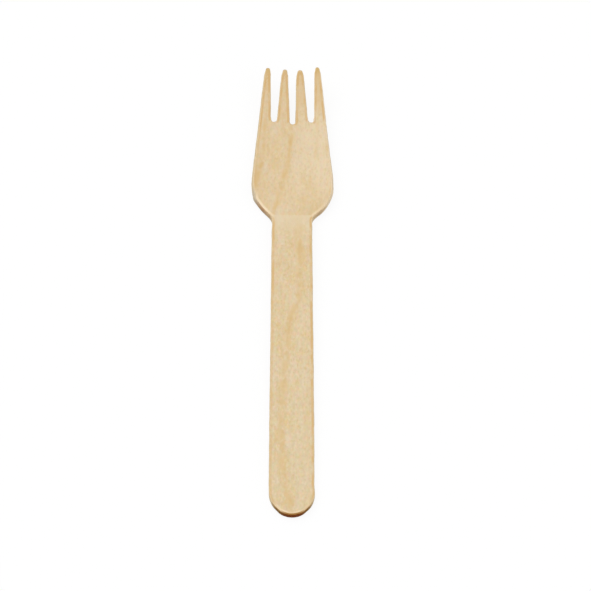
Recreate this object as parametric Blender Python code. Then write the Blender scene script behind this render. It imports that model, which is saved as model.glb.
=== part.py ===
"""Wooden fork, cut and pressed from one piece of birch veneer.

Metres, +Z up.  The fork lies face up as it rests on a table, with its tines towards +Y.
The outline is drawn flat, with y running from the round end of the handle to the tine tips.
The head is then pressed into a shallow bowl while the handle stays flat.
"""

import math

import bmesh
import bpy
from mathutils import Matrix, Vector

# Size of the blank
LENGTH = 0.160
VENEER_THICKNESS = 0.002
ARRIS_RADIUS = 0.0003

# Handle: its end is a little longer than a half circle, and it narrows slightly towards the neck
HANDLE_WIDTH = 0.0145
HANDLE_END_WIDTH = 0.0055
HANDLE_END_RADIUS = 0.0062
HANDLE_CORNER_PLACE = 0.0049
HANDLE_CORNER_RADIUS = 0.0082
NECK_WIDTH = 0.0127
NECK_RADIUS = 0.004

# Head: widths are measured over the corners, before these are rounded
HEAD_LENGTH = 0.0536
SHOULDER_WIDTH = 0.0271
SHOULDER_ANGLE = math.radians(45.7)
SHOULDER_RADIUS = 0.0132
TIP_SPAN = 0.0178

# Tines: two outer ones, and two middle ones that stop a little short of them, all tapered at the tip
TINE_TIP_RADIUS = 0.0006
TINE_TAPER = 0.0004
TINE_TAPER_LENGTH = 0.002
TINE_TAPER_RADIUS = 0.0015
MIDDLE_TINE_SETBACK = 0.00075
SIDE_NOTCH_DEPTH = 0.01825
SIDE_NOTCH_WALL = 0.00696
SIDE_NOTCH_ROOT_WIDTH = 0.00184
SIDE_NOTCH_MOUTH_WIDTH = 0.00354
CENTRE_NOTCH_DEPTH = 0.01896
CENTRE_NOTCH_ROOT_WIDTH = 0.00164
CENTRE_NOTCH_MOUTH_WIDTH = 0.00277

# Pressed form: the handle ramps down to a crease across the shoulders, where the bowl begins
RAMP_LENGTH = 0.0098
RAMP_ANGLE = math.radians(11.5)
CREASE_PAST_NECK = 0.0011
CREASE_SOFTNESS = 0.0008
BOWL_FLOOR_RADIUS = 0.150
TIP_RISE_ANGLE = math.radians(14)
FLOOR_WIDTH = 0.008
RIM_RISE = 0.0017
RIM_BUILD_UP = 0.009
RIM_SHARE_AT_TIPS = 0.35

# Fineness of the curves
ARC_ERROR = 0.00001
LARGEST_ARC_STEP = math.radians(15)
CUT_SPACING = 0.004

BIRCH = (0.731, 0.578, 0.361, 1.0)

NECK_Y = LENGTH - HEAD_LENGTH
CREASE_Y = NECK_Y + CREASE_PAST_NECK
RAMP_START_Y = CREASE_Y - RAMP_LENGTH


def empty_scene():
    """Remove whatever the new file holds."""
    for thing in list(bpy.data.objects):
        bpy.data.objects.remove(thing, do_unlink=True)
    for group in list(bpy.data.collections):
        bpy.data.collections.remove(group)


def wood_material():
    """Plain birch, unvarnished."""
    material = bpy.data.materials.new("birch")
    material.use_nodes = True
    shader = material.node_tree.nodes["Principled BSDF"]
    shader.inputs["Base Color"].default_value = BIRCH
    shader.inputs["Roughness"].default_value = 0.62
    shader.inputs["Metallic"].default_value = 0.0
    return material


def towards(start, end, distance):
    """The point that lies this far from the start on the way to the end."""
    way = Vector(end) - Vector(start)
    return (Vector(start) + way.normalized() * distance)[:]


def tine_side(tip, root, inward):
    """Corners where one side of a tine starts to taper, and where it reaches the tip."""
    return [
        (towards(tip, root, TINE_TAPER_LENGTH), TINE_TAPER_RADIUS),
        ((tip[0] + inward * TINE_TAPER, tip[1]), TINE_TIP_RADIUS),
    ]


def half_outline():
    """Corners of the right half with their radii, from the handle end to the centre notch."""
    shoulder_x = SHOULDER_WIDTH / 2
    shoulder_y = NECK_Y + (shoulder_x - NECK_WIDTH / 2) * math.tan(SHOULDER_ANGLE)
    middle_tip_y = LENGTH - MIDDLE_TINE_SETBACK
    side_round = SIDE_NOTCH_ROOT_WIDTH / 2
    shoulder = (shoulder_x, shoulder_y)
    outer_root = (SIDE_NOTCH_WALL, LENGTH - SIDE_NOTCH_DEPTH)
    inner_root = (SIDE_NOTCH_WALL - SIDE_NOTCH_ROOT_WIDTH, LENGTH - SIDE_NOTCH_DEPTH)
    centre_root = (CENTRE_NOTCH_ROOT_WIDTH / 2, LENGTH - CENTRE_NOTCH_DEPTH)
    corners = [
        ((HANDLE_END_WIDTH / 2, 0.0), HANDLE_END_RADIUS),
        ((HANDLE_WIDTH / 2, HANDLE_CORNER_PLACE), HANDLE_CORNER_RADIUS),
        ((NECK_WIDTH / 2, NECK_Y), NECK_RADIUS),
        (shoulder, SHOULDER_RADIUS),
    ]
    corners += tine_side((TIP_SPAN / 2, LENGTH), shoulder, -1)
    corners += reversed(tine_side((SIDE_NOTCH_WALL, LENGTH), outer_root, 1))
    corners += [(outer_root, side_round), (inner_root, side_round)]
    corners += tine_side((SIDE_NOTCH_WALL - SIDE_NOTCH_MOUTH_WIDTH, middle_tip_y), inner_root, -1)
    corners += reversed(tine_side((CENTRE_NOTCH_MOUTH_WIDTH / 2, middle_tip_y), centre_root, 1))
    corners.append((centre_root, CENTRE_NOTCH_ROOT_WIDTH / 2))
    return corners


def arc_reaches(corners):
    """How far from each corner its arc starts, cut back where two arcs would meet on a side."""
    wanted = []
    count = len(corners)
    for index in range(count):
        here = Vector(corners[index][0])
        before = Vector(corners[index - 1][0]) - here
        after = Vector(corners[(index + 1) % count][0]) - here
        wanted.append(corners[index][1] / math.tan(before.angle(after) / 2))
    reaches = list(wanted)
    for index in range(count):
        side = (Vector(corners[(index + 1) % count][0]) - Vector(corners[index][0])).length
        both = wanted[index] + wanted[(index + 1) % count]
        share = min(1.0, 0.998 * side / both)
        for end in (index, (index + 1) % count):
            reaches[end] = min(reaches[end], wanted[end] * share)
    return reaches


def rounded(corners):
    """Replace every corner of a closed outline by an arc of its radius, as far as the sides allow."""
    points = []
    count = len(corners)
    for index, reach in enumerate(arc_reaches(corners)):
        here = Vector(corners[index][0])
        before = Vector(corners[index - 1][0]) - here
        after = Vector(corners[(index + 1) % count][0]) - here
        half_angle = before.angle(after) / 2
        radius = reach * math.tan(half_angle)
        to_centre = (before.normalized() + after.normalized()).normalized()
        centre = here + to_centre * (radius / math.sin(half_angle))
        first = here + before.normalized() * reach - centre
        turn = math.pi - 2 * half_angle
        if before.cross(after) > 0:
            turn = -turn
        step = min(LARGEST_ARC_STEP, 2 * math.acos(1 - ARC_ERROR / radius))
        steps = math.ceil(abs(turn) / step)
        for number in range(steps + 1):
            points.append(centre + Matrix.Rotation(turn * number / steps, 2) @ first)
    return points


def blank_outline():
    """The whole outline of the blank as a closed row of points."""
    right = half_outline()
    left = [((-corner[0], corner[1]), radius) for corner, radius in reversed(right)]
    return rounded(right + left)


def flat_blank():
    """The blank as it is cut from the veneer sheet, lying on both sides of z = 0."""
    outline = blank_outline()
    curve = bpy.data.curves.new("blank outline", "CURVE")
    curve.dimensions = "2D"
    curve.fill_mode = "BOTH"
    curve.extrude = VENEER_THICKNESS / 2
    spline = curve.splines.new("POLY")
    spline.points.add(len(outline) - 1)
    for place, point in zip(spline.points, outline):
        place.co = (point.x, point.y, 0.0, 1.0)
    spline.use_cyclic_u = True
    drawn = bpy.data.objects.new("blank outline", curve)
    bpy.context.scene.collection.objects.link(drawn)
    bpy.context.view_layer.update()
    mesh = bpy.data.meshes.new_from_object(drawn.evaluated_get(bpy.context.evaluated_depsgraph_get()))
    mesh.name = "fork"
    fork = bpy.data.objects.new("fork", mesh)
    fork.matrix_world = drawn.matrix_world
    bpy.data.objects.remove(drawn, do_unlink=True)
    bpy.data.curves.remove(curve)
    return fork


def is_face_of_sheet(face):
    """True for the two broad faces, false for the sawn edge all round."""
    return abs(face.normal.z) > 0.99


def join_broad_faces(solid):
    """Weld the solid and make each broad face a single polygon."""
    bmesh.ops.remove_doubles(solid, verts=solid.verts, dist=0.000001)
    bmesh.ops.recalc_face_normals(solid, faces=solid.faces)
    for side in (1, -1):
        broad = [face for face in solid.faces if face.normal.z * side > 0.99]
        bmesh.ops.dissolve_faces(solid, faces=broad)


def round_arrises(solid):
    """Take the sharpness off the edges between the broad faces and the sawn edge."""
    rims = []
    for edge in solid.edges:
        broad = [face for face in edge.link_faces if is_face_of_sheet(face)]
        if len(broad) == 1:
            rims.append(edge)
    bmesh.ops.bevel(
        solid,
        geom=rims,
        offset=ARRIS_RADIUS,
        offset_type="OFFSET",
        segments=3,
        profile=0.5,
        affect="EDGES",
        clamp_overlap=True,
    )


def cross_cut(solid, y):
    """Divide every face that crosses this y."""
    geometry = list(solid.verts) + list(solid.edges) + list(solid.faces)
    bmesh.ops.bisect_plane(
        solid,
        geom=geometry,
        dist=0.000002,
        plane_co=(0.0, y, 0.0),
        plane_no=(0.0, 1.0, 0.0),
    )


def long_cut(solid, x):
    """Divide the broad faces of the head along this x."""
    faces = []
    for face in solid.faces:
        if is_face_of_sheet(face) and face.calc_center_median().y > RAMP_START_Y:
            faces.append(face)
    edges = list({edge for face in faces for edge in face.edges})
    verts = list({vert for face in faces for vert in face.verts})
    bmesh.ops.bisect_plane(
        solid,
        geom=verts + edges + faces,
        dist=0.000002,
        plane_co=(x, 0.0, 0.0),
        plane_no=(1.0, 0.0, 0.0),
    )


def evenly(start, end, spacing):
    """Places from start up to, but not at, end, no further apart than the spacing."""
    steps = max(1, math.ceil((end - start) / spacing))
    return [start + (end - start) * number / steps for number in range(steps)]


def divide_head(solid):
    """Give the head enough faces to take up its pressed form."""
    crease_start = CREASE_Y - CREASE_SOFTNESS
    crease_end = CREASE_Y + CREASE_SOFTNESS
    rim_full = CREASE_Y + RIM_BUILD_UP
    places = evenly(RAMP_START_Y, crease_start, CUT_SPACING / 2)
    places += evenly(crease_start, crease_end, CREASE_SOFTNESS / 2)
    places += evenly(crease_end, rim_full, CUT_SPACING / 4)
    places += evenly(rim_full, LENGTH - TINE_TAPER_LENGTH, CUT_SPACING)
    for y in places:
        cross_cut(solid, y)
    middle_tine = (SIDE_NOTCH_WALL - SIDE_NOTCH_MOUTH_WIDTH + CENTRE_NOTCH_MOUTH_WIDTH / 2) / 2
    side_notch = SIDE_NOTCH_WALL - SIDE_NOTCH_ROOT_WIDTH / 2
    outer_tine = (SIDE_NOTCH_WALL + TIP_SPAN / 2) / 2
    edge_strip = (SHOULDER_WIDTH - TIP_SPAN) / 8
    long_places = [middle_tine, FLOOR_WIDTH / 2, side_notch, outer_tine]
    long_places += [TIP_SPAN / 2 + edge_strip * number for number in (1, 2, 3)]
    long_cut(solid, 0.0)
    for x in long_places:
        long_cut(solid, x)
        long_cut(solid, -x)


def bend(distance, softness):
    """Zero before a bend and equal to the distance beyond it, with a rounded change of slope."""
    if distance < -softness:
        return 0.0
    if distance > softness:
        return distance
    return (distance + softness) ** 2 / (4 * softness)


def smooth_step(share):
    """Ease from 0 to 1."""
    share = min(max(share, 0.0), 1.0)
    return share * share * (3 - 2 * share)


def floor_height(y):
    """Height of the pressed sheet on the centre line."""
    ramp_slope = math.tan(RAMP_ANGLE)
    bowl_length = LENGTH - CREASE_Y
    first_bowl_slope = math.tan(TIP_RISE_ANGLE) - bowl_length / BOWL_FLOOR_RADIUS
    ramp = -ramp_slope * bend(y - CREASE_Y + RAMP_LENGTH / 2, RAMP_LENGTH / 2)
    crease = (ramp_slope + first_bowl_slope) * bend(y - CREASE_Y, CREASE_SOFTNESS)
    bowl = max(0.0, y - CREASE_Y) ** 2 / (2 * BOWL_FLOOR_RADIUS)
    return ramp + crease + bowl


def rim_share(y):
    """How much of the full rim height is reached at this y."""
    build_up = smooth_step((y - CREASE_Y) / RIM_BUILD_UP)
    towards_tips = smooth_step((y - CREASE_Y - RIM_BUILD_UP) / (LENGTH - CREASE_Y - RIM_BUILD_UP))
    return build_up * (1 - (1 - RIM_SHARE_AT_TIPS) * towards_tips)


def pressed_height(x, y):
    """Height of the middle of the sheet after pressing: level across the floor, then rising to the rims."""
    past_floor = max(0.0, abs(x) - FLOOR_WIDTH / 2)
    across = past_floor / ((SHOULDER_WIDTH - FLOOR_WIDTH) / 2)
    return floor_height(y) + RIM_RISE * rim_share(y) * across * across


def pressed(point):
    """Where a point of the flat blank goes, with the sheet keeping its thickness."""
    small = 0.00001
    slope_x = (pressed_height(point.x + small, point.y) - pressed_height(point.x - small, point.y)) / (2 * small)
    slope_y = (pressed_height(point.x, point.y + small) - pressed_height(point.x, point.y - small)) / (2 * small)
    outward = Vector((-slope_x, -slope_y, 1.0)).normalized()
    return Vector((point.x, point.y, pressed_height(point.x, point.y))) + outward * point.z


def press_head(solid):
    """Press everything beyond the start of the ramp; the handle stays flat."""
    for vert in solid.verts:
        if vert.co.y > RAMP_START_Y:
            vert.co = pressed(vert.co)


def rest_tilt(solid):
    """Angle about X at which the handle end and the bowl touch the table together."""
    tilt = 0.0
    for _ in range(6):
        turn = Matrix.Rotation(tilt, 3, "X")
        lowest_handle = min((turn @ vert.co for vert in solid.verts if vert.co.y < NECK_Y / 2), key=lambda p: p.z)
        lowest_bowl = min((turn @ vert.co for vert in solid.verts if vert.co.y > NECK_Y), key=lambda p: p.z)
        tilt += math.atan2(lowest_handle.z - lowest_bowl.z, lowest_bowl.y - lowest_handle.y)
    return tilt


def lay_down(solid):
    """Turn the fork into its rest position, centred on the origin and standing on z = 0."""
    turn = Matrix.Rotation(rest_tilt(solid), 3, "X")
    for vert in solid.verts:
        vert.co = turn @ vert.co
    middle_y = (min(vert.co.y for vert in solid.verts) + max(vert.co.y for vert in solid.verts)) / 2
    lowest = min(vert.co.z for vert in solid.verts)
    for vert in solid.verts:
        vert.co -= Vector((0.0, middle_y, lowest))


def build_fork(collection):
    """Cut, press and lay down the fork."""
    fork = flat_blank()
    mesh = fork.data
    solid = bmesh.new()
    solid.from_mesh(mesh)
    join_broad_faces(solid)
    round_arrises(solid)
    divide_head(solid)
    press_head(solid)
    bmesh.ops.dissolve_degenerate(solid, dist=0.000002, edges=solid.edges)
    bmesh.ops.triangulate(solid, faces=solid.faces)
    lay_down(solid)
    bmesh.ops.recalc_face_normals(solid, faces=solid.faces)
    solid.to_mesh(mesh)
    solid.free()
    mesh.shade_smooth()
    mesh.set_sharp_from_angle(angle=math.radians(30))
    mesh.materials.clear()
    mesh.materials.append(wood_material())
    collection.objects.link(fork)


def main():
    """Build the fork in a collection of its own."""
    empty_scene()
    collection = bpy.data.collections.new("wooden fork")
    bpy.context.scene.collection.children.link(collection)
    build_fork(collection)


main()
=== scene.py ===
"""Looks of a wooden fork: one piece of birch veneer, cut out, pressed and tumbled smooth.

The blank is drawn flat, with y from the handle end to the tine tips and the sheet's thickness along z.
It is pressed by a node tree, laid down as it rests, and keeps its flat place in an attribute, so that
the grain runs through the pressed wood as it ran through the sheet.
"""

import math

import bmesh
import bpy
import numpy as np
from mathutils import Matrix, Vector, noise
from mathutils.geometry import delaunay_2d_cdt


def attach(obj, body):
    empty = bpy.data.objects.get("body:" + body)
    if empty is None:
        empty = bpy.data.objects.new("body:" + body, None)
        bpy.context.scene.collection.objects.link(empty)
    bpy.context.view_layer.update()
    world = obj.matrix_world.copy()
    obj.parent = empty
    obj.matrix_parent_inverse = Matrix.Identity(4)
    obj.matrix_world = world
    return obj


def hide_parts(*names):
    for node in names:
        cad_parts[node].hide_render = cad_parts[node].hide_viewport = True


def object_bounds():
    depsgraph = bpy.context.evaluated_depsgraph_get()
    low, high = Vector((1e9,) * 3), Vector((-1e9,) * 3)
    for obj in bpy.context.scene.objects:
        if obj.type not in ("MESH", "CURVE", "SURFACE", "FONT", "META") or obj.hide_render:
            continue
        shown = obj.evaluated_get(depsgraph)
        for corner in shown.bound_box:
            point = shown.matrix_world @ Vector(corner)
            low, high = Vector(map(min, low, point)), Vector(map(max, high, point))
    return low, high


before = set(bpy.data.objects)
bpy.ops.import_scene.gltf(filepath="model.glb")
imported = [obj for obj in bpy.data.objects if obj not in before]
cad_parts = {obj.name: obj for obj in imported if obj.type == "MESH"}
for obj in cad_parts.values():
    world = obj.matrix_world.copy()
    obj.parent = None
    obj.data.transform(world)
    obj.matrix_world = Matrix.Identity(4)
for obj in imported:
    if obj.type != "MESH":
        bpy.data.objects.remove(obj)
solid_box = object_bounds()

# Blank, in metres
LENGTH = 0.160
VENEER_THICKNESS = 0.002
HANDLE_WIDTH = 0.0145
HANDLE_END_WIDTH = 0.0055
HANDLE_END_RADIUS = 0.0062
HANDLE_CORNER_PLACE = 0.0049
HANDLE_CORNER_RADIUS = 0.0082
NECK_WIDTH = 0.0127
NECK_RADIUS = 0.004
HEAD_LENGTH = 0.0536
SHOULDER_WIDTH = 0.0271
SHOULDER_ANGLE = math.radians(45.7)
SHOULDER_RADIUS = 0.0132
TIP_SPAN = 0.0178

# Tines
TINE_TIP_RADIUS = 0.0006
TINE_TAPER = 0.0004
TINE_TAPER_LENGTH = 0.002
TINE_TAPER_RADIUS = 0.0015
MIDDLE_TINE_SETBACK = 0.00075
SIDE_NOTCH_DEPTH = 0.01825
SIDE_NOTCH_WALL = 0.00696
SIDE_NOTCH_ROOT_WIDTH = 0.00184
SIDE_NOTCH_MOUTH_WIDTH = 0.00354
CENTRE_NOTCH_DEPTH = 0.01896
CENTRE_NOTCH_ROOT_WIDTH = 0.00164
CENTRE_NOTCH_MOUTH_WIDTH = 0.00277

# Press
RAMP_LENGTH = 0.0098
RAMP_ANGLE = math.radians(11.5)
CREASE_PAST_NECK = 0.0011
CREASE_SOFTNESS = 0.0008
BOWL_FLOOR_RADIUS = 0.150
TIP_RISE_ANGLE = math.radians(14)
FLOOR_WIDTH = 0.008
RIM_RISE = 0.0017
RIM_BUILD_UP = 0.009
RIM_SHARE_AT_TIPS = 0.35

NECK_Y = LENGTH - HEAD_LENGTH
CREASE_Y = NECK_Y + CREASE_PAST_NECK

# Marks of cutting, pressing and tumbling. The shifts follow the photo, the waves and wobbles are guessed.
ARRIS_RADIUS = 0.0003
ARRIS_UNEVENNESS = 0.00008
ARRIS_WAVELENGTH = 0.003
CUT_WOBBLE = 0.00004
WOBBLE_WAVELENGTH = 0.004
FINE_WOBBLE_WAVELENGTH = 0.0013
FINE_WOBBLE_SHARE = 0.5
HEAD_SIDESTEP = 0.00027
TIP_SIDESTEP = 0.0001
SIDESTEP_EASE = 0.012
END_SIDESTEP = 0.00015
END_EASE = 0.004
END_REACH = 0.012
TINE_SLACK = (-0.00018, 0.0002, 0.0, 0.00026)
TINE_SLACK_START = LENGTH - 0.012
TINE_EDGES_FROM = LENGTH - 0.0181
# Each row: tine from the left, its left or right edge, place along the fork, reach, sideways shift
TINE_EDGE_SLACK = (
    (0, -1, LENGTH - 0.0041, 0.0045, 0.00008),
    (0, 1, LENGTH - 0.0041, 0.0045, -0.0001),
    (1, 1, LENGTH - 0.006, 0.007, -0.00016),
    (2, -1, LENGTH - 0.004, 0.006, -0.00013),
    (2, 1, LENGTH - 0.0095, 0.006, -0.0001),
    (0, 1, LENGTH - 0.0173, 0.0011, 0.00014),
    (1, -1, LENGTH - 0.0155, 0.0025, 0.00009),
    (2, 1, LENGTH - 0.0155, 0.0025, -0.00015),
    (3, -1, LENGTH - 0.0173, 0.0012, -0.00022),
)
# Each row: place along the fork, reach, sideways shift of the left edge and of the right edge
SIDE_SLACK = (
    (NECK_Y + 0.0115, 0.0054, 0.00021, -0.00021),
    (NECK_Y + 0.0070, 0.0020, -0.0002, 0.0),
    (NECK_Y + 0.0055, 0.0060, 0.0, -0.00016),
    (NECK_Y + 0.0042, 0.0030, 0.00014, 0.0),
    (NECK_Y + 0.0010, 0.0045, 0.0, -0.0002),
    (0.012, 0.016, 0.0, -0.00016),
    (0.0022, 0.003, 0.0, -0.00008),
)
VENEER_WAVE = 0.00006
WAVES_PER_METRE_ACROSS = 90.0
WAVES_PER_METRE_ALONG = 45.0
WAVE_SLICE = 0.4
WAVE_PATTERN = 3.0

# Fineness of the mesh. The face is filled with rows of a triangular grid, clear of its rim and of one
# inner row that follows the rim. Insets and clearances are shares of a step.
EDGE_STEP = 0.0003
FACE_STEP = 0.0006
FACE_ROW_SHARE = 0.866
FACE_MARGIN = 0.001
FACE_CLEARANCE = 0.75
INNER_ROW_INSET = 0.8
INNER_ROW_CLEARANCE = 0.7
ARRIS_STEPS = 4
WALL_STEPS = 5
ARC_SHARE_OF_SIDE = 0.998
JOINING_DISTANCE = 1e-9
SLOPE_STEP = 0.0001
TURNS_TO_REST = 6

# Camera: above the handle, looking along the fork
PHOTO_PIXELS = 591
CAMERA_ELEVATION = math.radians(60)
CAMERA_AZIMUTH = math.radians(-3)
CAMERA_DISTANCE = 2.5
PIXEL_AT_FORK = 0.00031515
PIXELS_RIGHT_OF_CENTRE = -3.5
PIXELS_ABOVE_CENTRE = 6.6
SENSOR_WIDTH = 36.0
NEAREST_SEEN = 0.05
FARTHEST_SEEN = 30.0

# Light
SURROUND_LIGHT = 0.66
KEY_STRENGTH = 1.2
KEY_SPREAD = math.radians(60)
KEY_FROM = (-0.62, 0.5, 1.0)
FILL_STRENGTH = 0.5
FILL_SPREAD = math.radians(70)
FILL_FROM = (0.8, -0.5, 0.4)
FLOOR_LIT = 0.6
FLOOR_SEEN = 0.1
FLOOR_REACH = 6.0
FLOOR_GAP = 0.00005

# Sizes that the press takes, by the names that its tree shows
PRESS_SIZES = {
    "Length": LENGTH,
    "Head width": SHOULDER_WIDTH,
    "Crease place": CREASE_Y,
    "Crease softness": CREASE_SOFTNESS,
    "Ramp length": RAMP_LENGTH,
    "Ramp angle": RAMP_ANGLE,
    "Bowl floor radius": BOWL_FLOOR_RADIUS,
    "Tip rise angle": TIP_RISE_ANGLE,
    "Floor width": FLOOR_WIDTH,
    "Rim rise": RIM_RISE,
    "Rim build-up": RIM_BUILD_UP,
    "Rim share at tips": RIM_SHARE_AT_TIPS,
    "Wave height": VENEER_WAVE,
}

# Growth rings: where one ring line runs, from the handle end to the tips, as shares of length and width
RING_SPACING = 0.0085
RING_HALF_WIDTH = 0.0009
RING_BLUR = 0.0012
RING_LEAN = 1.6
RING_DRIFT = 0.001
FAINT_RING = 0.3
RING_WANDER_WIDTH = 0.017
RING_WANDER_SHIFT = 0.0132
RING_WANDER = [
    (0.0, 0.30),
    (0.06, 0.17),
    (0.11, 0.09),
    (0.2, 0.08),
    (0.3, 0.12),
    (0.37, 0.18),
    (0.43, 0.24),
    (0.47, 0.345),
    (0.52, 0.43),
    (0.56, 0.455),
    (0.63, 0.40),
    (0.67, 0.41),
    (0.7, 0.50),
    (0.76, 0.62),
    (0.83, 0.745),
    (0.88, 0.765),
    (1.0, 0.85),
]


# Patterns in the wood. Each row: how often they come per metre across and along, detail, which pattern
WOOD_PATTERNS = {
    "drift": (260, 110, 2.0, 1.0),
    "fine": (4300, 360, 2.0, 2.0),
    "broad": (1100, 140, 2.0, 4.0),
    "mottle": (1500, 950, 2.0, 6.0),
    "patches": (330, 200, 2.0, 7.0),
    "knots": (420, 260, 1.0, 8.0),
    "pored": (700, 120, 1.0, 11.0),
    "tint": (900, 600, 3.0, 12.0),
    "blush": (900, 600, 2.0, 15.0),
    "cast": (330, 150, 2.0, 25.0),
}
PORES_PER_METRE = (2300, 420)

# Surface of the wood
SPECULAR = 0.07
ROUGHNESS = 0.6
RELIEF_STRENGTH = 0.35
RELIEF_HEIGHT = 0.00006


def linear(red, green, blue):
    """A colour given as it is seen on a screen, 0 to 255, as the light that it stands for."""
    channels = []
    for value in (red, green, blue):
        share = value / 255
        channels.append(share / 12.92 if share <= 0.04045 else ((share + 0.055) / 1.055) ** 2.4)
    return (*channels, 1.0)


def grey(share):
    """A grey of one brightness."""
    return (share, share, share, 1.0)


# Colours of the wood
PALE_BIRCH = linear(229, 209, 176)
WARM_BIRCH = linear(222, 197, 157)
LIGHT_FIBRE = linear(231, 212, 183)
# Dark fibres; the same colour is also painted shade right of the crease
DARK_FIBRE_AND_SHADE = linear(208, 182, 133)
AMBER_TINT = linear(232, 203, 151)
COOL_TINT = linear(212, 194, 168)
STRAW_CAST = linear(219, 192, 140)
WHITE_CAST = linear(224, 206, 180)
ROSE_TINT = linear(231, 192, 165)
GREEN_TINT = linear(216, 208, 161)
COOL_CAST = linear(210, 200, 165)
# Painted highlight for the neck's ramp before the crease
NECK_RAMP_HIGHLIGHT = linear(226, 209, 178)
TINE_WARM = linear(219, 188, 140)
RING_LINE = linear(219, 188, 137)
RING_KNOT = linear(211, 176, 118)
PORE = linear(190, 158, 114)
# Gold of the edges, partly painted shade of the rounded arrises
EDGE_GOLD_AND_SHADE = linear(214, 177, 122)
TIP_BROWN = linear(211, 179, 119)
# Painted highlight: a pale colour for the face before the cut ends and for cut walls that lie in shade
PAINTED_HIGHLIGHT = linear(248, 227, 195)
CUT_ALONG = linear(225, 202, 162)
CUT_SLANT = linear(182, 140, 102)
CUT_LIGHT = linear(214, 187, 148)
CUT_GREY = linear(208, 193, 168)
# Browns of the handle end's cut: end grain colour, darkened further as painted shade
END_SLANT_AND_SHADE = linear(142, 102, 44)
END_ARRIS_AND_SHADE = linear(161, 115, 58)
CUT_ACROSS_AND_SHADE = linear(120, 56, 0)
CUT_DARK = linear(96, 50, 4)
CUT_TIP = linear(188, 148, 100)


class Wire:
    """An output socket that sums can be written with."""

    def __init__(self, tree, socket):
        self.tree = tree
        self.socket = socket

    def maths(self, operation, *others):
        """This value and the others through one Math node."""
        terms = dict(enumerate((self, *others)))
        return self.tree.add("ShaderNodeMath", {"operation": operation}, terms)

    def __add__(self, other):
        return self.maths("ADD", other)

    def __sub__(self, other):
        return self.maths("SUBTRACT", other)

    def __mul__(self, other):
        return self.maths("MULTIPLY", other)

    def __truediv__(self, other):
        return self.maths("DIVIDE", other)

    def __neg__(self):
        return self.maths("MULTIPLY", -1.0)

    def __radd__(self, other):
        return self.maths("ADD", other)

    def __rmul__(self, other):
        return self.maths("MULTIPLY", other)

    def __rsub__(self, other):
        return self.tree.add("ShaderNodeMath", {"operation": "SUBTRACT"}, {0: other, 1: self})

    def size(self):
        """The value without its sign."""
        return self.maths("ABSOLUTE")

    def at_least(self, other):
        """The larger of this value and another."""
        return self.maths("MAXIMUM", other)

    def at_most(self, other):
        """The smaller of this value and another."""
        return self.maths("MINIMUM", other)

    def within(self, low, high):
        """The value held between two limits."""
        return self.at_least(low).at_most(high)

    def step(self, low, high):
        """Eases from 0 at low to 1 at high, where high may be below low."""
        terms = {"Value": self, "From Min": low, "From Max": high, "To Min": 0.0, "To Max": 1.0}
        return self.tree.add("ShaderNodeMapRange", {"interpolation_type": "SMOOTHSTEP"}, terms)


class Tree:
    """A node tree whose nodes are added by name, settings and sockets."""

    def __init__(self, nodes):
        self.nodes = nodes

    def add(self, kind, settings=None, sockets=None, output=0):
        """Add a node, set it up, then fill its sockets with values or links."""
        node = self.nodes.nodes.new(kind)
        for name, value in (settings or {}).items():
            if name == "curve":
                fill_curve(node, value)
            else:
                setattr(node, name, value)
        for name, value in (sockets or {}).items():
            if isinstance(value, Wire):
                self.nodes.links.new(value.socket, node.inputs[name])
            else:
                node.inputs[name].default_value = value
        return Wire(self, node.outputs[output]) if len(node.outputs) else None

    def feed(self, wire, node, socket):
        """Link a wire to a named input of a node."""
        self.nodes.links.new(wire.socket, node.inputs[socket])

    def blend(self, share, first, second):
        """Mix two colours."""
        sockets = {0: share, 6: first, 7: second}
        return self.add("ShaderNodeMix", {"data_type": "RGBA"}, sockets, output=2)

    def layered(self, colour, layers):
        """A colour with others laid over it in turn, each with its share."""
        for share, over in layers:
            colour = self.blend(share, colour, over)
        return colour

    def attribute(self, name, output):
        """A value that the mesh carries at each point."""
        return self.add("ShaderNodeAttribute", {"attribute_name": name}, output=output)

    def stretched(self, place, across, along):
        """A place scaled for a pattern that runs along the sheet."""
        sockets = {0: place, 1: (across, along, across)}
        return self.add("ShaderNodeVectorMath", {"operation": "MULTIPLY"}, sockets)

    def parts(self, vector):
        """The three parts of a vector."""
        first = self.add("ShaderNodeSeparateXYZ", None, {0: vector})
        node = first.socket.node
        return first, Wire(self, node.outputs[1]), Wire(self, node.outputs[2])

    def cloud(self, vector, detail, pattern):
        """Soft noise about 0.5 over a vector."""
        settings = {"noise_dimensions": "4D"}
        sockets = {"Vector": vector, "W": pattern, "Scale": 1.0, "Detail": detail, "Roughness": 0.5}
        return self.add("ShaderNodeTexNoise", settings, sockets)


def fill_curve(node, points):
    """Give a Float Curve node its points."""
    curve = node.mapping.curves[0]
    while len(curve.points) < len(points):
        curve.points.new(0.5, 0.5)
    for place, point in zip(curve.points, points):
        place.location = point
    node.mapping.update()


def towards(start, end, distance):
    """The point that lies this far from the start on the way to the end."""
    way = Vector(end) - Vector(start)
    return (Vector(start) + way.normalized() * distance)[:]


def tine_side(tip, root, inward):
    """Corners where one side of a tine starts to taper, and where it reaches the tip."""
    return [
        (towards(tip, root, TINE_TAPER_LENGTH), TINE_TAPER_RADIUS),
        ((tip[0] + inward * TINE_TAPER, tip[1]), TINE_TIP_RADIUS),
    ]


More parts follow.
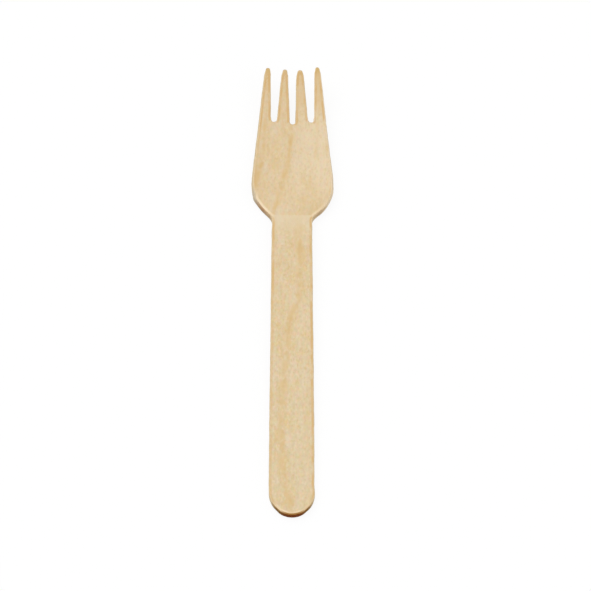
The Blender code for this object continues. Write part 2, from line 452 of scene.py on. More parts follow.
def half_outline():
    """Corners of the right half with their radii, from the handle end to the centre notch."""
    shoulder_x = SHOULDER_WIDTH / 2
    shoulder_y = NECK_Y + (shoulder_x - NECK_WIDTH / 2) * math.tan(SHOULDER_ANGLE)
    middle_tip_y = LENGTH - MIDDLE_TINE_SETBACK
    side_round = SIDE_NOTCH_ROOT_WIDTH / 2
    shoulder = (shoulder_x, shoulder_y)
    outer_root = (SIDE_NOTCH_WALL, LENGTH - SIDE_NOTCH_DEPTH)
    inner_root = (SIDE_NOTCH_WALL - SIDE_NOTCH_ROOT_WIDTH, LENGTH - SIDE_NOTCH_DEPTH)
    centre_root = (CENTRE_NOTCH_ROOT_WIDTH / 2, LENGTH - CENTRE_NOTCH_DEPTH)
    corners = [
        ((HANDLE_END_WIDTH / 2, 0.0), HANDLE_END_RADIUS),
        ((HANDLE_WIDTH / 2, HANDLE_CORNER_PLACE), HANDLE_CORNER_RADIUS),
        ((NECK_WIDTH / 2, NECK_Y), NECK_RADIUS),
        (shoulder, SHOULDER_RADIUS),
    ]
    corners += tine_side((TIP_SPAN / 2, LENGTH), shoulder, -1)
    corners += reversed(tine_side((SIDE_NOTCH_WALL, LENGTH), outer_root, 1))
    corners += [(outer_root, side_round), (inner_root, side_round)]
    corners += tine_side((SIDE_NOTCH_WALL - SIDE_NOTCH_MOUTH_WIDTH, middle_tip_y), inner_root, -1)
    corners += reversed(tine_side((CENTRE_NOTCH_MOUTH_WIDTH / 2, middle_tip_y), centre_root, 1))
    corners.append((centre_root, CENTRE_NOTCH_ROOT_WIDTH / 2))
    return corners


def arc_reaches(corners):
    """How far from each corner its arc starts, cut back where two arcs would meet on a side."""
    wanted = []
    count = len(corners)
    for index in range(count):
        here = Vector(corners[index][0])
        before = Vector(corners[index - 1][0]) - here
        after = Vector(corners[(index + 1) % count][0]) - here
        wanted.append(corners[index][1] / math.tan(before.angle(after) / 2))
    reaches = list(wanted)
    for index in range(count):
        side = (Vector(corners[(index + 1) % count][0]) - Vector(corners[index][0])).length
        both = wanted[index] + wanted[(index + 1) % count]
        share = min(1.0, ARC_SHARE_OF_SIDE * side / both)
        for end in (index, (index + 1) % count):
            reaches[end] = min(reaches[end], wanted[end] * share)
    return reaches


def rounded(corners):
    """Replace every corner of a closed outline by an arc of its radius."""
    points = []
    count = len(corners)
    for index, reach in enumerate(arc_reaches(corners)):
        here = Vector(corners[index][0])
        before = Vector(corners[index - 1][0]) - here
        after = Vector(corners[(index + 1) % count][0]) - here
        half_angle = before.angle(after) / 2
        radius = reach * math.tan(half_angle)
        to_centre = (before.normalized() + after.normalized()).normalized()
        centre = here + to_centre * (radius / math.sin(half_angle))
        first = here + before.normalized() * reach - centre
        turn = math.pi - 2 * half_angle
        if before.cross(after) > 0:
            turn = -turn
        steps = max(2, math.ceil(abs(turn) * radius / (EDGE_STEP / 2)))
        for number in range(steps + 1):
            points.append(centre + Matrix.Rotation(turn * number / steps, 2) @ first)
    return np.array([point[:] for point in points])


def evenly_spaced(loop, spacing):
    """A closed row of points walked again in even steps."""
    closed = np.vstack([loop, loop[:1]])
    lengths = np.hypot(*np.diff(closed, axis=0).T)
    travelled = np.concatenate([[0.0], np.cumsum(lengths)])
    count = round(travelled[-1] / spacing)
    stops = np.arange(count) * travelled[-1] / count
    return np.stack([np.interp(stops, travelled, closed[:, axis]) for axis in (0, 1)], axis=1)


def outward_directions(loop):
    """Unit vectors out of an anticlockwise loop, at each of its points."""
    along = np.roll(loop, -1, axis=0) - np.roll(loop, 1, axis=0)
    along /= np.linalg.norm(along, axis=1)[:, None]
    return np.stack([along[:, 1], -along[:, 0]], axis=1)


def unevenness(places, wavelength, seed):
    """Smooth noise from about -1 to 1 at each place of a row."""
    return np.array([noise.noise(Vector((x / wavelength, y / wavelength, seed))) for x, y in places]) * 2


def eased(share):
    """A share held between 0 and 1 and eased at both ends."""
    held = np.clip(share, 0.0, 1.0)
    return held * held * (3 - 2 * held)


def nearness(loop, place, reach):
    """1 beside a place along the fork, easing to 0 at its reach."""
    return eased(1 - np.abs(loop[:, 1] - place) / reach)


def shift_head_and_end(loop):
    """Move the head and the handle end a hair to one side."""
    past_neck = loop[:, 1] - NECK_Y
    towards_tips = np.clip(past_neck / HEAD_LENGTH, 0.0, 1.0)
    sidestep = HEAD_SIDESTEP + (TIP_SIDESTEP - HEAD_SIDESTEP) * towards_tips
    loop[:, 0] += sidestep * eased(past_neck / SIDESTEP_EASE + 0.5)
    loop[:, 0] += END_SIDESTEP * eased(loop[:, 1] / END_EASE) * eased((END_REACH - loop[:, 1]) / END_EASE)


def shift_edges(loop, which_tine):
    """Move the sides and the edges of the tines where the cut strayed."""
    for place, reach, left_shift, right_shift in SIDE_SLACK:
        shift = np.where(loop[:, 0] < 0, left_shift, right_shift)
        loop[:, 0] += shift * nearness(loop, place, reach)
    for tine, side, place, reach, shift in TINE_EDGE_SLACK:
        on_tine = (which_tine == tine) & (loop[:, 1] > TINE_EDGES_FROM)
        beside = side * (loop[:, 0] - loop[on_tine, 0].mean()) > 0
        loop[:, 0] += shift * nearness(loop, place, reach) * on_tine * beside


def cut_line():
    """The cut edge as it came out: a slight wobble, uneven tines, and the head a hair to one side."""
    right = half_outline()
    left = [((-corner[0], corner[1]), radius) for corner, radius in reversed(right)]
    loop = evenly_spaced(rounded(right + left), EDGE_STEP)
    wobble = unevenness(loop, WOBBLE_WAVELENGTH, seed=1.7)
    wobble += FINE_WOBBLE_SHARE * unevenness(loop, FINE_WOBBLE_WAVELENGTH, seed=5.1)
    loop = loop + outward_directions(loop) * (CUT_WOBBLE * wobble)[:, None]
    between_tines = (SIDE_NOTCH_WALL - SIDE_NOTCH_ROOT_WIDTH / 2) * np.array([-1, 0, 1])
    which_tine = np.digitize(loop[:, 0], between_tines)
    shift_head_and_end(loop)
    shift_edges(loop, which_tine)
    along_tine = np.clip((loop[:, 1] - TINE_SLACK_START) / (LENGTH - TINE_SLACK_START), 0.0, 1.0)
    loop[:, 1] += np.array(TINE_SLACK)[which_tine] * along_tine
    return loop


def arris_rings(loop, side, seed):
    """Rings of points over one arris, from the face to the wall, each with how far it faces outwards."""
    outward = outward_directions(loop)
    radius = ARRIS_RADIUS + ARRIS_UNEVENNESS * unevenness(loop, ARRIS_WAVELENGTH, seed)
    rings = []
    for number in range(ARRIS_STEPS + 1):
        angle = math.pi / 2 * (1 - number / ARRIS_STEPS)
        inset = radius * (1 - math.cos(angle))
        height = side * (VENEER_THICKNESS / 2 - radius + radius * math.sin(angle))
        flat = loop - outward * inset[:, None]
        rings.append((np.column_stack([flat, height]), math.cos(angle)))
    return rings


def edge_rings(loop):
    """Rings of points round the edge, from the upper face over the arris, down the wall and under."""
    upper = arris_rings(loop, 1, seed=2.3)
    lower = arris_rings(loop, -1, seed=8.9)
    top = upper[-1][0]
    bottom = lower[-1][0]
    wall = []
    for number in range(1, WALL_STEPS):
        share = number / WALL_STEPS
        wall.append((top * (1 - share) + bottom * share, 1.0))
    rings = upper + wall + lower[::-1]
    outwards = [np.full(len(ring), facing) for ring, facing in rings]
    return [ring for ring, facing in rings], outwards


def nearest_side(loop, places):
    """Distance from each place to a closed loop, and which of its sides is nearest."""
    start = loop
    side = np.roll(loop, -1, axis=0) - start
    length_squared = (side**2).sum(axis=1)
    distances = []
    nearest = []
    for place in places:
        away = place - start
        share = np.clip((away * side).sum(axis=1) / length_squared, 0.0, 1.0)
        gaps = np.hypot(*(away - side * share[:, None]).T)
        index = int(gaps.argmin())
        distances.append(gaps[index])
        nearest.append(index)
    return np.array(distances), np.array(nearest)


def is_inside(loop, places):
    """Which places lie inside a closed loop."""
    ahead = np.roll(loop, -1, axis=0)
    inside = np.zeros(len(places), bool)
    for (x1, y1), (x2, y2) in zip(loop, ahead):
        if y1 == y2:
            continue
        crosses = (places[:, 1] > min(y1, y2)) & (places[:, 1] <= max(y1, y2))
        inside ^= crosses & (places[:, 0] < x1 + (places[:, 1] - y1) * (x2 - x1) / (y2 - y1))
    return inside


def face_points(loop):
    """A staggered grid of points inside the loop, clear of its edge."""
    half = SHOULDER_WIDTH / 2 + FACE_MARGIN
    grid = []
    for number, y in enumerate(np.arange(0.0, LENGTH, FACE_STEP * FACE_ROW_SHARE)):
        stagger = FACE_STEP / 2 * (number % 2)
        for x in np.arange(-half, half, FACE_STEP):
            grid.append((x + stagger, y))
    grid = np.array(grid)
    grid = grid[is_inside(loop, grid)]
    return grid[nearest_side(loop, grid)[0] > FACE_STEP * FACE_CLEARANCE]


def filled_face(rim):
    """Points inside a face's rim, and triangles that number the rim's points first and then these."""
    inner = rim - outward_directions(rim) * (EDGE_STEP * INNER_ROW_INSET)
    inner = inner[is_inside(rim, inner)]
    inner = inner[nearest_side(rim, inner)[0] > EDGE_STEP * INNER_ROW_CLEARANCE]
    inside = np.vstack([inner, face_points(rim)])
    flat = [Vector(point) for point in np.vstack([rim, inside])]
    sides = [(number, (number + 1) % len(rim)) for number in range(len(rim))]
    drawn = delaunay_2d_cdt(flat, sides, [], 1, JOINING_DISTANCE)
    triangles = [tuple(drawn[3][corner][0] for corner in face) for face in drawn[2]]
    return inside, triangles


def flat_blank():
    """Mesh of the blank before pressing, with what its material has to know at each point."""
    loop = cut_line()
    rings, outwards = edge_rings(loop)
    inside, triangles = filled_face(rings[0][:, :2])
    half = VENEER_THICKNESS / 2
    top = [(x, y, half) for x, y in inside]
    bottom = [(x, y, -half) for x, y in inside]
    places = np.vstack([*rings, top, bottom])
    count = len(loop)
    last_ring = (len(rings) - 1) * count
    faces = []
    for ring in range(len(rings) - 1):
        upper = ring * count
        lower = upper + count
        for number in range(count):
            after = (number + 1) % count
            faces.append((upper + number, lower + number, lower + after, upper + after))
    to_top = last_ring
    to_bottom = last_ring + len(inside)
    for triangle in triangles:
        above = [corner if corner < count else corner + to_top for corner in triangle]
        under = [corner + (last_ring if corner < count else to_bottom) for corner in triangle]
        faces.append(above)
        faces.append(under[::-1])
    gaps, nearest = nearest_side(loop, places[:, :2])
    facing = outward_directions(loop)[nearest, 1]
    wall = np.concatenate(outwards + [np.zeros(2 * len(inside))])
    return mesh_of("fork blank", places, faces, {"edge_distance": gaps, "facing": facing, "cut_wall": wall})


def mesh_of(name, places, faces, values):
    """A mesh that carries a number for each point under each name, and its own flat place."""
    mesh = bpy.data.meshes.new(name)
    mesh.from_pydata(places.tolist(), [], faces)
    solid = bmesh.new()
    solid.from_mesh(mesh)
    bmesh.ops.recalc_face_normals(solid, faces=solid.faces)
    solid.to_mesh(mesh)
    solid.free()
    for label, numbers in values.items():
        mesh.attributes.new(label, "FLOAT", "POINT").data.foreach_set("value", numbers.astype(np.float32))
    flat_place = mesh.attributes.new("flat_place", "FLOAT_VECTOR", "POINT")
    flat_place.data.foreach_set("vector", places.astype(np.float32).ravel())
    mesh.shade_smooth()
    return mesh


def bend(distance, softness):
    """Zero before a bend and equal to the distance beyond it, with a rounded change of slope."""
    within = (distance + softness).within(0.0, softness * 2)
    return within * within / (softness * 4) + (distance - softness).at_least(0.0)


def sheet_height(size, x, y):
    """Height of the middle of the pressed sheet: ramp, crease, bowl, rims and a slight wave."""
    past_crease = y - size["Crease place"]
    ramp_slope = size["Ramp angle"].maths("TANGENT")
    bowl_length = size["Length"] - size["Crease place"]
    first_slope = size["Tip rise angle"].maths("TANGENT") - bowl_length / size["Bowl floor radius"]
    half_ramp = size["Ramp length"] / 2
    ramp = ramp_slope * bend(past_crease + half_ramp, half_ramp)
    crease = (ramp_slope + first_slope) * bend(past_crease, size["Crease softness"])
    in_bowl = past_crease.at_least(0.0)
    bowl = in_bowl * in_bowl / (size["Bowl floor radius"] * 2)
    after_build_up = past_crease - size["Rim build-up"]
    build_up = past_crease.step(0.0, size["Rim build-up"])
    towards_tips = after_build_up.step(0.0, bowl_length - size["Rim build-up"])
    rim = build_up * (1 - (1 - size["Rim share at tips"]) * towards_tips)
    past_floor = (x.size() - size["Floor width"] / 2).at_least(0.0)
    across = past_floor / ((size["Head width"] - size["Floor width"]) / 2)
    sockets = {0: x * WAVES_PER_METRE_ACROSS, 1: y * WAVES_PER_METRE_ALONG, 2: WAVE_SLICE}
    place = x.tree.add("ShaderNodeCombineXYZ", None, sockets)
    wave = (x.tree.cloud(place, detail=1.0, pattern=WAVE_PATTERN) - 0.5) * size["Wave height"]
    return crease + bowl - ramp + size["Rim rise"] * rim * across * across + wave


def press_tree():
    """Node tree that presses a flat blank into the fork's form and keeps its thickness."""
    nodes = bpy.data.node_groups.new("press the fork", "GeometryNodeTree")
    tree = Tree(nodes)
    nodes.interface.new_socket("Geometry", in_out="INPUT", socket_type="NodeSocketGeometry")
    for name in PRESS_SIZES:
        nodes.interface.new_socket(name, in_out="INPUT", socket_type="NodeSocketFloat")
    nodes.interface.new_socket("Wood", in_out="INPUT", socket_type="NodeSocketMaterial")
    nodes.interface.new_socket("Geometry", in_out="OUTPUT", socket_type="NodeSocketGeometry")
    given = tree.add("NodeGroupInput").socket.node
    size = {name: Wire(tree, given.outputs[name]) for name in PRESS_SIZES}
    x, y, depth = tree.parts(tree.add("GeometryNodeInputPosition"))
    height = sheet_height(size, x, y)
    slope_x = (sheet_height(size, x + SLOPE_STEP, y) - height) / SLOPE_STEP
    slope_y = (sheet_height(size, x, y + SLOPE_STEP) - height) / SLOPE_STEP
    steep = tree.add("ShaderNodeCombineXYZ", None, {0: -slope_x, 1: -slope_y, 2: 1.0})
    outward = tree.add("ShaderNodeVectorMath", {"operation": "NORMALIZE"}, {0: steep})
    reach = tree.add("ShaderNodeVectorMath", {"operation": "SCALE"}, {0: outward, "Scale": depth})
    middle = tree.add("ShaderNodeCombineXYZ", None, {0: x, 1: y, 2: height})
    place = tree.add("ShaderNodeVectorMath", {"operation": "ADD"}, {0: middle, 1: reach})
    blank = Wire(tree, given.outputs["Geometry"])
    pressed = tree.add("GeometryNodeSetPosition", None, {"Geometry": blank, "Position": place})
    whole = tree.add("GeometryNodeRealizeInstances", None, {0: pressed})
    wood = Wire(tree, given.outputs["Wood"])
    finished = tree.add("GeometryNodeSetMaterial", None, {"Geometry": whole, "Material": wood})
    tree.add("NodeGroupOutput", None, {"Geometry": finished})
    return nodes


def through_press(blank, wood):
    """The pressed mesh, made plain."""
    press = blank.modifiers.new("press", "NODES")
    press.node_group = press_tree()
    for item in press.node_group.interface.items_tree:
        if item.in_out == "INPUT" and item.name in PRESS_SIZES:
            press[item.identifier] = PRESS_SIZES[item.name]
        if item.name == "Wood":
            press[item.identifier] = wood
    bpy.context.view_layer.update()
    depsgraph = bpy.context.evaluated_depsgraph_get()
    evaluated = blank.evaluated_get(depsgraph)
    mesh = bpy.data.meshes.new_from_object(evaluated, preserve_all_data_layers=True, depsgraph=depsgraph)
    blank.modifiers.remove(press)
    return mesh


def lay_down(mesh):
    """Turn the pressed fork about X until it rests on handle end and bowl, where the solid lies."""
    places = np.empty(len(mesh.vertices) * 3)
    mesh.vertices.foreach_get("co", places)
    places = places.reshape(-1, 3)
    handle = places[:, 1] < NECK_Y / 2
    head = places[:, 1] > NECK_Y
    for _ in range(TURNS_TO_REST):
        lowest_handle = places[handle][places[handle][:, 2].argmin()]
        lowest_head = places[head][places[head][:, 2].argmin()]
        tilt = math.atan2(lowest_handle[2] - lowest_head[2], lowest_head[1] - lowest_handle[1])
        places = places @ np.array(Matrix.Rotation(tilt, 3, "X")).T
    handle_end = solid_box[0][1]
    places -= (0.0, places[:, 1].min() - handle_end, places[:, 2].min())
    mesh.vertices.foreach_set("co", places.ravel())
    mesh.update()


def make_fork(wood):
    """The fork as one mesh, lying where the solid lies."""
    blank = bpy.data.objects.new("blank", flat_blank())
    bpy.context.scene.collection.objects.link(blank)
    mesh = through_press(blank, wood)
    bpy.data.objects.remove(blank, do_unlink=True)
    lay_down(mesh)
    mesh.name = "wooden_fork"
    fork = bpy.data.objects.new("wooden_fork", mesh)
    bpy.context.scene.collection.objects.link(fork)
    return fork


class Wood:
    """What the paint knows at each point: its place in the flat sheet, its cut edge and its grain.

    Places and distances are in metres: x from the middle, y from the handle end, depth from the middle
    of the sheet, edge to the nearest cut. How that cut faces runs from -1, towards the handle end, to 1,
    towards the tips. The rest are shares, most of them faded in by step between two places.
    """

    def __init__(self, tree):
        flat = tree.attribute("flat_place", output=1)
        self.edge = tree.attribute("edge_distance", output=2)
        self.facing = tree.attribute("facing", output=2)
        self.wall = tree.attribute("cut_wall", output=2)
        self.x, self.y, self.depth = tree.parts(flat)
        self.past_neck = self.y - NECK_Y
        self.past_crease = self.y - CREASE_Y
        self.in_head = self.past_neck.step(-0.004, 0.001)
        self.in_handle = 1 - self.in_head
        self.pattern = {}
        for name, (across, along, detail, pattern) in WOOD_PATTERNS.items():
            place = tree.stretched(flat, across, along)
            self.pattern[name] = tree.cloud(place, detail, pattern)
        self.find_pores(tree, flat)
        self.find_rings(tree)
        self.find_edges()

    def find_pores(self, tree, flat):
        """Pores: short thin dashes along the sheet, in some parts of it."""
        settings = {"feature": "F1", "distance": "EUCLIDEAN"}
        place = tree.stretched(flat, *PORES_PER_METRE)
        sockets = {"Vector": place, "Scale": 1.0, "Randomness": 1.0}
        cells = tree.add("ShaderNodeTexVoronoi", settings, sockets)
        self.pores = cells.step(0.26, 0.12) * self.pattern["pored"].step(0.47, 0.6)

    def find_rings(self, tree):
        """Growth rings: one wandering line repeated across the sheet, plainest where the photo shows it."""
        wander = tree.add("ShaderNodeFloatCurve", {"curve": RING_WANDER}, {"Value": self.y / LENGTH})
        drift = (self.pattern["drift"] - 0.5) * RING_DRIFT
        lean = (self.depth - VENEER_THICKNESS / 2) * RING_LEAN
        from_line = self.x - (wander * RING_WANDER_WIDTH - RING_WANDER_SHIFT) + drift + lean
        turns = from_line / RING_SPACING + 0.5
        off_line = (turns.maths("FRACT") - 0.5).size() * RING_SPACING
        blurred = self.in_handle.at_least(self.past_neck.step(0.024, 0.016) * 0.6)
        width = RING_HALF_WIDTH + blurred * RING_BLUR
        self.line = 1 - (off_line / width).step(0.0, 1.0)
        number = turns.maths("FLOOR")
        main_in_handle = (number - 1).size().step(0.9, 0.1)
        self.main_line = number.step(0.9, 0.1) * self.in_head + main_in_handle * self.in_handle
        strength = FAINT_RING + (1 - FAINT_RING) * self.main_line
        patchy = 0.25 + 0.75 * self.pattern["patches"].step(0.38, 0.6)
        left_tine = self.x.step(-0.005, -0.0065) * self.y.step(LENGTH - 0.021, LENGTH - 0.017)
        self.line_strength = strength * patchy * (1 - 0.8 * left_tine)
        pale_in_head = from_line.step(-0.001, 0.006) * self.past_neck.step(0.003, 0.02)
        pale_in_handle = (from_line - RING_SPACING).step(-0.001, 0.008) * 0.5
        self.paleness = pale_in_head * self.in_head + pale_in_handle * self.in_handle

    def find_edges(self):
        """Where fibres are cut across, and golden strips along the edges of the faces, which are partly
        painted shade of the rounded arrises.
        """
        left_shoulder = self.x.step(-0.004, -0.01) * self.past_neck.step(0.0118, 0.0075) * self.in_head
        self.cut_end = (self.facing + 0.1 * self.in_handle).step(-0.3, -0.65).at_least(left_shoulder)
        self.beside_end = self.facing.step(-0.98, -0.66) * self.in_handle
        flank = self.y.step(LENGTH - 0.018, LENGTH - 0.024) * self.past_neck.step(0.0, 0.004)
        right = self.x.step(-0.002, 0.002)
        less_gold_on_flank = flank * (0.4 + 0.48 * right)
        patchy = 0.25 + 0.75 * self.pattern["patches"].step(0.35, 0.6)
        # Golden edge strips, partly painted shade, stronger on the right of the handle
        gold_share = patchy * (1 - less_gold_on_flank) * self.facing.step(0.8, 0.4)
        gold_share = gold_share * (0.5 + 0.5 * right.at_least(self.y.step(0.07, 0.085)))
        strip = self.edge.step(0.0011, 0.0006) * self.edge.step(0.0001, 0.0004)
        self.golden_edge = strip * gold_share * (1 - self.cut_end)


def face_colour(tree, wood):
    """Colour of the faces: broad casts, blotches, fibres, ring lines and pores on birch, with painted
    highlight on the neck's ramp and painted shade right of the crease.
    """
    x = wood.x
    y = wood.y
    cast = wood.pattern["cast"]
    tint = wood.pattern["tint"]
    blush = wood.pattern["blush"]
    broad = wood.pattern["broad"]
    mottle = wood.pattern["mottle"]
    lively = 1.32 - 0.32 * wood.in_head
    rings = wood.line * wood.line_strength * (0.7 + 0.3 * wood.in_head)
    knots = wood.line * wood.main_line * wood.pattern["knots"].step(0.52, 0.68)
    behind_crease = wood.past_crease.step(-0.0002, 0.0003)
    # Painted shade: a darker strip on the head's right just past the crease
    shade_right_of_crease = x.step(0.001, 0.008) * wood.past_crease.step(0.009, 0.002) * behind_crease
    tines = y.step(LENGTH - 0.017, LENGTH - 0.009)
    # Painted highlight on the ramp before the crease, where the sloping face catches the light
    ramp = wood.past_crease.step(-0.011, -0.001) * wood.past_crease.step(0.0003, -0.0002)
    birch_ground = tree.blend(wood.paleness, WARM_BIRCH, PALE_BIRCH)
    return tree.layered(birch_ground, [
        (wood.in_handle * (0.2 + 0.12 * y.step(0.06, 0.035)), COOL_CAST),
        (wood.in_handle * x.step(0.0028, 0.0062) * 0.1, DARK_FIBRE_AND_SHADE),
        (cast.step(0.5, 0.72) * lively * 0.6, STRAW_CAST),
        (cast.step(0.5, 0.28) * lively * 0.65, WHITE_CAST),
        (tint.step(0.48, 0.68) * lively * 0.4, AMBER_TINT),
        (tint.step(0.52, 0.32) * lively * 0.4, COOL_TINT),
        (blush.step(0.48, 0.68) * lively * 0.35, ROSE_TINT),
        (blush.step(0.52, 0.32) * lively * 0.35, GREEN_TINT),
        (broad.step(0.5, 0.86) * 0.25, DARK_FIBRE_AND_SHADE),
        (broad.step(0.5, 0.16) * 0.25, LIGHT_FIBRE),
        (wood.pattern["fine"].step(0.48, 0.9) * 0.25, DARK_FIBRE_AND_SHADE),
        (mottle.step(0.5, 0.75) * lively * 0.5, LIGHT_FIBRE),
        (mottle.step(0.5, 0.25) * lively * 0.45, DARK_FIBRE_AND_SHADE),
        (rings, RING_LINE),
        (knots * 0.4, RING_KNOT),
        (wood.pores * 0.2, PORE),
        # Painted shade right of the crease
        (shade_right_of_crease * 0.4, DARK_FIBRE_AND_SHADE),
        (tines * (0.1 + 0.45 * x.step(-0.003, 0.006)), TINE_WARM),
        # Painted highlight on the neck's ramp
        (ramp * 0.55, NECK_RAMP_HIGHLIGHT),
    ])


def painted_rim_highlight(wood):
    """How much painted highlight lies on a face before an end that is cut across, most so where the photo
    shows it.
    """
    lit = wood.cut_end * (0.35 + 0.5 * wood.facing.step(-1.0, -0.9))
    right_of_end = 0.05 + 0.65 * wood.x.step(0.0, 0.003)
    lit = lit * (1 - wood.facing.step(-0.98, -0.85) * wood.in_handle * right_of_end)
    far_or_right = wood.x.step(0.002, 0.01).at_least(wood.past_neck.step(0.003, 0.012))
    dimmed = (far_or_right * 0.6).at_least(wood.past_neck.step(0.004, 0.001) * 0.45)
    return lit * (1 - wood.in_head * dimmed)


def with_edges(tree, wood, colour):
    """The faces' colour with golden edge strips that are partly painted shade, and a painted highlight
    before the cut ends.
    """
    rim = (wood.edge + wood.beside_end * 0.0003).step(0.00145, 0.00085)
    gilt = wood.edge.step(0.00095, 0.0005) * wood.cut_end * wood.in_handle
    tips = wood.y.step(LENGTH - 0.0026, LENGTH - 0.0008)
    return tree.layered(colour, [
        # Golden edge strips, partly painted shade
        (wood.golden_edge * 0.9, EDGE_GOLD_AND_SHADE),
        # Painted highlight: a pale rim on the face before the cut ends
        (rim * painted_rim_highlight(wood), PAINTED_HIGHLIGHT),
        (gilt * 0.3, EDGE_GOLD_AND_SHADE),
        (tips * (0.4 + 0.4 * wood.x.size().step(0.004, 0.006)), TIP_BROWN),
    ])


def cut_colour(tree, wood):
    """Colour of the cut wall: pale along the fibres, brown across them with painted shade at the handle
    end, lighter on the head's right as painted highlight.
    """
    x = wood.x
    past_neck = wood.past_neck
    slanting = wood.facing.size().step(0.3, 0.75)
    crossing = wood.facing.size().step(0.66, 0.99)
    # End grain brown across the fibres, darker at the handle end as painted shade
    across = tree.blend(wood.facing.step(-0.5, 0.5), CUT_ACROSS_AND_SHADE, CUT_TIP)
    slanted = tree.layered(CUT_SLANT, [
        (x.step(-0.008, 0.008), CUT_LIGHT),
        (past_neck.step(0.0036, 0.0016) * 0.85, CUT_LIGHT),
        # Painted highlight: the upper wall of the right shoulder is made lighter where it lies in shade
        (x.step(0.007, 0.01) * past_neck.step(0.005, 0.009) * 0.85, WARM_BIRCH),
    ])
    # In the handle the slanting walls take a dark brown that is partly painted shade
    slanted = tree.blend(wood.in_head, END_SLANT_AND_SHADE, slanted)
    left_shoulder = x.step(0.0, -0.01) * past_neck.step(0.004, 0.007) * past_neck.step(0.0122, 0.0088)
    highlight_right_of_head = x.step(0.004, 0.008) * past_neck.step(0.003, 0.007)
    # Painted highlight: the lower part of the head's cut wall is made lighter where the floor shades it
    highlight_low_on_wall = wood.depth.step(0.0, -0.0009) * slanting * wood.in_head
    return tree.layered(CUT_ALONG, [
        (slanting, slanted),
        (left_shoulder * 0.75, CUT_GREY),
        # Painted highlight on the cut wall at the head's right
        (highlight_right_of_head * 0.75, PAINTED_HIGHLIGHT),
        (crossing, across),
        (wood.pattern["fine"].step(0.4, 0.75) * wood.facing.step(0.5, -0.5) * 0.3, CUT_DARK),
        # Darker arrises beside the handle end, partly painted shade
        (wood.wall.step(0.98, 0.5) * slanting * wood.in_handle, END_ARRIS_AND_SHADE),
        (wood.depth.step(0.0006, 0.0008) * wood.beside_end * 0.2, DARK_FIBRE_AND_SHADE),
        (highlight_low_on_wall * 0.6, CUT_LIGHT),
        (highlight_low_on_wall * x.step(0.0, 0.006) * 0.5, PAINTED_HIGHLIGHT),
    ])


def birch():
    """Bare birch: rings and fibres, pores, golden edges and brown end grain that are partly painted shade,
    with painted highlights and shade by the cuts and the crease.
    """
    material = bpy.data.materials.new("birch")
    material.use_nodes = True
    tree = Tree(material.node_tree)
    surface = material.node_tree.nodes["Principled BSDF"]
    wood = Wood(tree)
    fine = wood.pattern["fine"]
    broad = wood.pattern["broad"]
    mottle = wood.pattern["mottle"]
    colour = with_edges(tree, wood, face_colour(tree, wood))
    # The dark band of the cut ends starts on the face's edge: end grain brown with painted shade
    dark_start = (wood.edge + 0.00018 * wood.in_head).step(0.00066, 0.00044) * wood.cut_end
    on_cut = wood.wall.step(0.15, 0.75).at_least(dark_start * (1 - wood.beside_end))
    colour = tree.blend(on_cut, colour, cut_colour(tree, wood))
    rings = wood.line * wood.line_strength
    relief = fine * 0.5 + broad * 0.5 - wood.pores * 0.8 - rings * 0.2 + mottle * 0.3
    sockets = {"Height": relief, "Strength": RELIEF_STRENGTH, "Distance": RELIEF_HEIGHT}
    surface.inputs["Specular IOR Level"].default_value = SPECULAR
    tree.feed(colour, surface, "Base Color")
    tree.feed(ROUGHNESS - 0.12 * wood.golden_edge + 0.1 * (broad - 0.5), surface, "Roughness")
    tree.feed(tree.add("ShaderNodeBump", None, sockets), surface, "Normal")
    return material


def white_floor():
    """A plain pale floor that shows white to the camera and keeps a faint shadow of the fork."""
    material = bpy.data.materials.new("pale floor")
    material.use_nodes = True
    tree = Tree(material.node_tree)
    surface = material.node_tree.nodes["Principled BSDF"]
    surface.inputs["Roughness"].default_value = 1.0
    surface.inputs["Specular IOR Level"].default_value = 0.0
    surface.inputs["Emission Strength"].default_value = 1.0
    seen = background_rays(tree)
    tree.feed(tree.blend(seen, grey(FLOOR_LIT), grey(FLOOR_SEEN)), surface, "Base Color")
    tree.feed(tree.blend(seen, grey(0.0), grey(1.0 - FLOOR_SEEN)), surface, "Emission Color")
    mesh = bpy.data.meshes.new("floor")
    corners = [(x * FLOOR_REACH, y * FLOOR_REACH) for x, y in ((-1, -1), (1, -1), (1, 1), (-1, 1))]
    mesh.from_pydata([(x, y, -FLOOR_GAP) for x, y in corners], [], [(0, 1, 2, 3)])
    mesh.materials.append(material)
    floor = bpy.data.objects.new("floor", mesh)
    bpy.context.scene.collection.objects.link(floor)


def background_rays(tree):
    """1 for rays that look at the background: from the camera, mirrored or passed through."""
    node = tree.add("ShaderNodeLightPath").socket.node
    seen = Wire(tree, node.outputs["Is Camera Ray"])
    for kind in ("Is Glossy Ray", "Is Transmission Ray"):
        seen = seen.at_least(Wire(tree, node.outputs[kind]))
    return seen


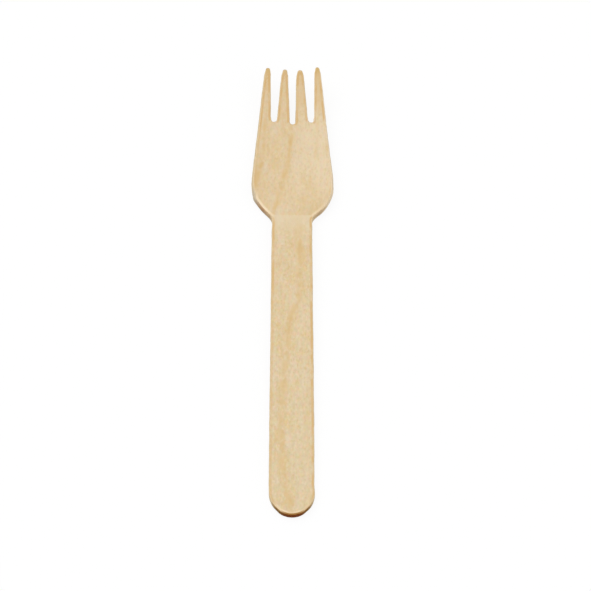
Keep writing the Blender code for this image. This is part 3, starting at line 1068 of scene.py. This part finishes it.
def studio_light():
    """Soft light from all round, a broad key from behind the left, and a weak fill from the right."""
    world = bpy.data.worlds.new("studio")
    bpy.context.scene.world = world
    world.use_nodes = True
    tree = Tree(world.node_tree)
    around = world.node_tree.nodes["Background"]
    around.inputs["Color"].default_value = (1.0, 1.0, 1.0, 1.0)
    seen = background_rays(tree)
    strength = SURROUND_LIGHT + (1.0 - SURROUND_LIGHT) * seen
    tree.feed(strength, around, "Strength")
    soft_sun("key", KEY_STRENGTH, KEY_SPREAD, KEY_FROM)
    soft_sun("fill", FILL_STRENGTH, FILL_SPREAD, FILL_FROM)


def soft_sun(name, strength, spread, origin):
    """A distant lamp as wide as its spread, shining from the given direction."""
    light = bpy.data.lights.new(name, "SUN")
    light.energy = strength
    light.angle = spread
    lamp = bpy.data.objects.new(name, light)
    lamp.rotation_mode = "QUATERNION"
    lamp.rotation_quaternion = Vector(origin).to_track_quat("Z", "Y")
    bpy.context.scene.collection.objects.link(lamp)


def photo_camera():
    """Camera at the photograph's angle, with the fork as large and as high in the frame."""
    level = math.cos(CAMERA_ELEVATION)
    sideways = math.sin(CAMERA_AZIMUTH) * level
    backwards = -math.cos(CAMERA_AZIMUTH) * level
    back = Vector((sideways, backwards, math.sin(CAMERA_ELEVATION)))
    up = (Vector((0.0, 1.0, 0.0)) - back * back.y).normalized()
    right = up.cross(back)
    lens = bpy.data.cameras.new("camera")
    lens.sensor_width = SENSOR_WIDTH
    lens.lens = SENSOR_WIDTH * CAMERA_DISTANCE / (PHOTO_PIXELS * PIXEL_AT_FORK)
    lens.clip_start = NEAREST_SEEN
    lens.clip_end = FARTHEST_SEEN
    low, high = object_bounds()
    aim = (low + high) / 2
    aim -= right * PIXELS_RIGHT_OF_CENTRE * PIXEL_AT_FORK
    aim -= up * PIXELS_ABOVE_CENTRE * PIXEL_AT_FORK
    camera = bpy.data.objects.new("camera", lens)
    turned = Matrix((right, up, back)).transposed().to_4x4()
    camera.matrix_world = Matrix.Translation(aim + back * CAMERA_DISTANCE) @ turned
    bpy.context.scene.collection.objects.link(camera)
    bpy.context.scene.camera = camera


bpy.context.scene.view_settings.view_transform = "Standard"
photo_camera()
white_floor()
studio_light()
fork = make_fork(birch())
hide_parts("fork")
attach(fork, "root")
